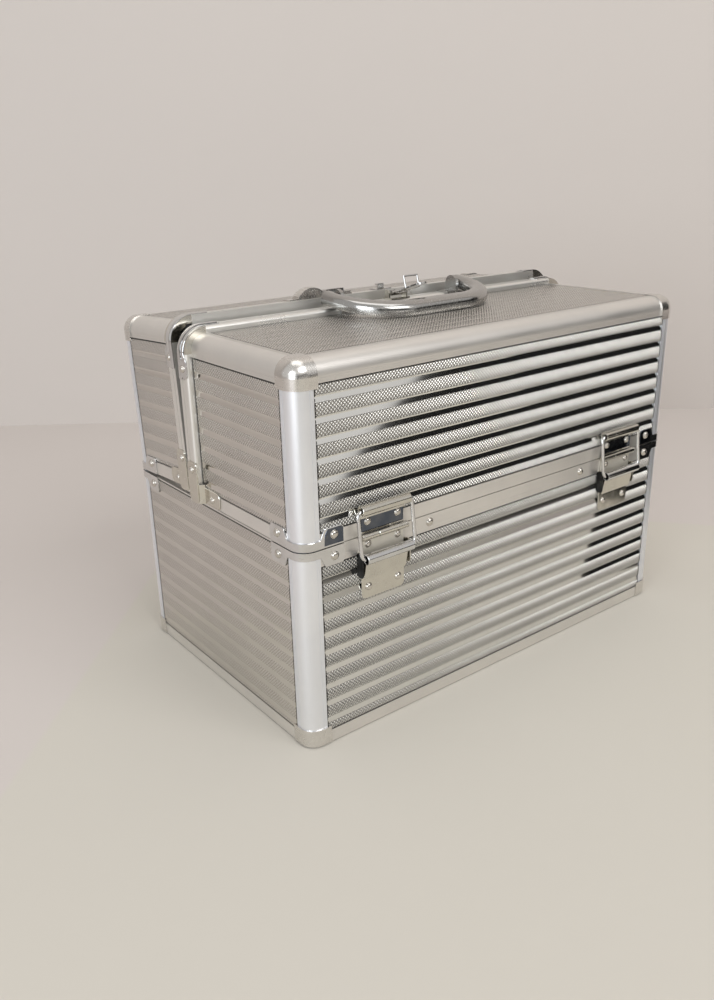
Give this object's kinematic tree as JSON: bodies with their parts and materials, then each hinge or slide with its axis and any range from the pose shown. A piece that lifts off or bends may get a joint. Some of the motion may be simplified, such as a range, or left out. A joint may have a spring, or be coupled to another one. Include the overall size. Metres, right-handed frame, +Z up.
{
  "type": "makeup storage case",
  "caption": "Hard make-up case with a lid split into two hinged halves, draw latches, a fold-down handle and cantilever trays inside.",
  "frame": {"origin": "middle of the whole part's box at the height of the surface it stands on", "axes": "+X to the right seen from the front, -Y towards the front with the two latches, +Z up"},
  "size_m": [0.3738, 0.2397, 0.2797],
  "materials": {
    "embossed_sheet": "embossed bands of fine diamond knurl between smooth bright grooves",
    "satin_aluminium": "satin anodised profile",
    "chrome_fittings": "bright plated pressed steel",
    "tray_plastic": "moulded black plastic with a fine grain",
    "dark_lining": "black flocked lining on board"
  },
  "bodies": {
    "body": {"body_floor_board": "dark_lining", "body_front_board": "embossed_sheet", "body_rear_board": "embossed_sheet", "body_left_board": "embossed_sheet", "body_right_board": "embossed_sheet", "body_corner_posts": "satin_aluminium", "body_bottom_rails": "satin_aluminium", "body_bottom_caps": "chrome_fittings", "body_rim_rails": "satin_aluminium", "body_corner_brackets": "chrome_fittings", "body_rivets": "chrome_fittings", "front_latch_bases": "chrome_fittings", "rear_hinge_body_leaves": "chrome_fittings", "hinge_pins": "chrome_fittings", "tray_arm_pivots": "chrome_fittings"},
    "front_lid": {"front_lid_face_board": "embossed_sheet", "front_lid_top_board": "embossed_sheet", "front_lid_end_boards": "embossed_sheet", "front_lid_corner_posts": "satin_aluminium", "front_lid_top_rails": "satin_aluminium", "front_lid_bottom_rails": "satin_aluminium", "front_lid_seam_rail": "satin_aluminium", "front_lid_seam_corners": "chrome_fittings", "front_lid_corner_caps": "chrome_fittings", "front_lid_brackets": "chrome_fittings", "front_lid_rivets": "chrome_fittings", "front_latch_keepers": "chrome_fittings", "handle_feet": "chrome_fittings", "centre_latch_base": "chrome_fittings", "front_tray_pivots": "chrome_fittings"},
    "rear_lid": {"rear_lid_face_board": "embossed_sheet", "rear_lid_top_board": "embossed_sheet", "rear_lid_end_boards": "embossed_sheet", "rear_lid_corner_posts": "satin_aluminium", "rear_lid_top_rails": "satin_aluminium", "rear_lid_bottom_rails": "satin_aluminium", "rear_lid_seam_rail": "satin_aluminium", "rear_lid_seam_corners": "chrome_fittings", "rear_lid_corner_caps": "chrome_fittings", "rear_lid_brackets": "chrome_fittings", "rear_lid_rivets": "chrome_fittings", "rear_hinge_lid_leaves": "chrome_fittings", "centre_latch_keeper": "chrome_fittings", "seam_lock_housing": "chrome_fittings", "rear_tray_pivots": "chrome_fittings"},
    "handle": {"handle": "chrome_fittings"},
    "centre_lever": {"centre_latch_lever": "chrome_fittings"},
    "centre_bail": {"centre_latch_bail": "chrome_fittings"},
    "lock_slider": {"seam_lock_slider": "chrome_fittings"},
    "bail_left": {"latch_bail_left": "chrome_fittings"},
    "bail_right": {"latch_bail_right": "chrome_fittings"},
    "lever_left": {"latch_lever_left": "chrome_fittings"},
    "lever_right": {"latch_lever_right": "chrome_fittings"},
    "front_upper_tray": {"front_upper_tray": "tray_plastic"},
    "front_lower_tray": {"front_lower_tray": "tray_plastic"},
    "rear_upper_tray": {"rear_upper_tray": "tray_plastic"},
    "rear_lower_tray": {"rear_lower_tray": "tray_plastic"},
    "front_arms": {"front_tray_arms": "satin_aluminium"},
    "rear_arms": {"rear_tray_arms": "satin_aluminium"}
  },
  "joints": [
    {"name": "front_lid_hinge", "type": "hinge", "parent": "body", "child": "front_lid", "pos_m": [0, -0.11206, 0.14], "axis": [1, 0, 0], "range_deg": [0, 95]},
    {"name": "rear_lid_hinge", "type": "hinge", "parent": "body", "child": "rear_lid", "pos_m": [0, 0.11554, 0.14], "axis": [-1, 0, 0], "range_deg": [-3.4, 86]},
    {"name": "handle_pivot", "type": "hinge", "parent": "front_lid", "child": "handle", "pos_m": [0, 0.01274, 0.267], "axis": [-1, 0, 0], "range_deg": [0, 95]},
    {"name": "centre_lever_pivot", "type": "hinge", "parent": "front_lid", "child": "centre_lever", "pos_m": [0, 0.01494, 0.2649], "axis": [-1, 0, 0], "range_deg": [-10, 75]},
    {"name": "centre_bail_pivot", "type": "hinge", "parent": "centre_lever", "child": "centre_bail", "pos_m": [0, 0.01016, 0.26636], "axis": [-1, 0, 0], "range_deg": [0, 45]},
    {"name": "lock_slide", "type": "slide", "parent": "rear_lid", "child": "lock_slider", "axis": [1, 0, 0], "range_m": [0, 0.004]},
    {"name": "bail_pivot_left", "type": "hinge", "parent": "front_lid", "child": "bail_left", "pos_m": [-0.118, -0.11306, 0.158], "axis": [1, 0, 0], "range_deg": [-95, 0]},
    {"name": "lever_pivot_left", "type": "hinge", "parent": "bail_left", "child": "lever_left", "pos_m": [-0.118, -0.11686, 0.127], "axis": [-1, 0, 0], "range_deg": [0, 110]},
    {"name": "bail_pivot_right", "type": "hinge", "parent": "front_lid", "child": "bail_right", "pos_m": [0.118, -0.11306, 0.158], "axis": [1, 0, 0], "range_deg": [-95, 0]},
    {"name": "lever_pivot_right", "type": "hinge", "parent": "bail_right", "child": "lever_right", "pos_m": [0.118, -0.11686, 0.127], "axis": [-1, 0, 0], "range_deg": [0, 110]},
    {"name": "front_upper_tray_pivot", "type": "hinge", "parent": "front_lid", "child": "front_upper_tray", "pos_m": [0, -0.05405, 0.188], "axis": [1, 0, 0], "range_deg": [-95, 0]},
    {"name": "front_lower_tray_pivot", "type": "hinge", "parent": "front_lid", "child": "front_lower_tray", "pos_m": [0, -0.08306, 0.164], "axis": [1, 0, 0], "range_deg": [-95, 0]},
    {"name": "front_arm_pivot", "type": "hinge", "parent": "body", "child": "front_arms", "pos_m": [0, -0.08206, 0.13], "axis": [1, 0, 0], "range_deg": [0, 95]},
    {"name": "rear_upper_tray_pivot", "type": "hinge", "parent": "rear_lid", "child": "rear_upper_tray", "pos_m": [0, 0.06449, 0.19112], "axis": [-1, 0, 0], "range_deg": [-86, 3.4]},
    {"name": "rear_lower_tray_pivot", "type": "hinge", "parent": "rear_lid", "child": "rear_lower_tray", "pos_m": [0, 0.09002, 0.16556], "axis": [-1, 0, 0], "range_deg": [-86, 3.4]},
    {"name": "rear_arm_pivot", "type": "hinge", "parent": "body", "child": "rear_arms", "pos_m": [0, 0.09355, 0.13], "axis": [-1, 0, 0], "range_deg": [-3.4, 86]}
  ],
  "couplings": [
    {"joint": "bail_pivot_left", "follows": "front_lid_hinge", "ratio": -1},
    {"joint": "bail_pivot_right", "follows": "front_lid_hinge", "ratio": -1},
    {"joint": "front_upper_tray_pivot", "follows": "front_lid_hinge", "ratio": -1},
    {"joint": "front_lower_tray_pivot", "follows": "front_lid_hinge", "ratio": -1},
    {"joint": "front_arm_pivot", "follows": "front_lid_hinge", "ratio": 1},
    {"joint": "rear_upper_tray_pivot", "follows": "rear_lid_hinge", "ratio": -1},
    {"joint": "rear_lower_tray_pivot", "follows": "rear_lid_hinge", "ratio": -1},
    {"joint": "rear_arm_pivot", "follows": "rear_lid_hinge", "ratio": 1}
  ]
}
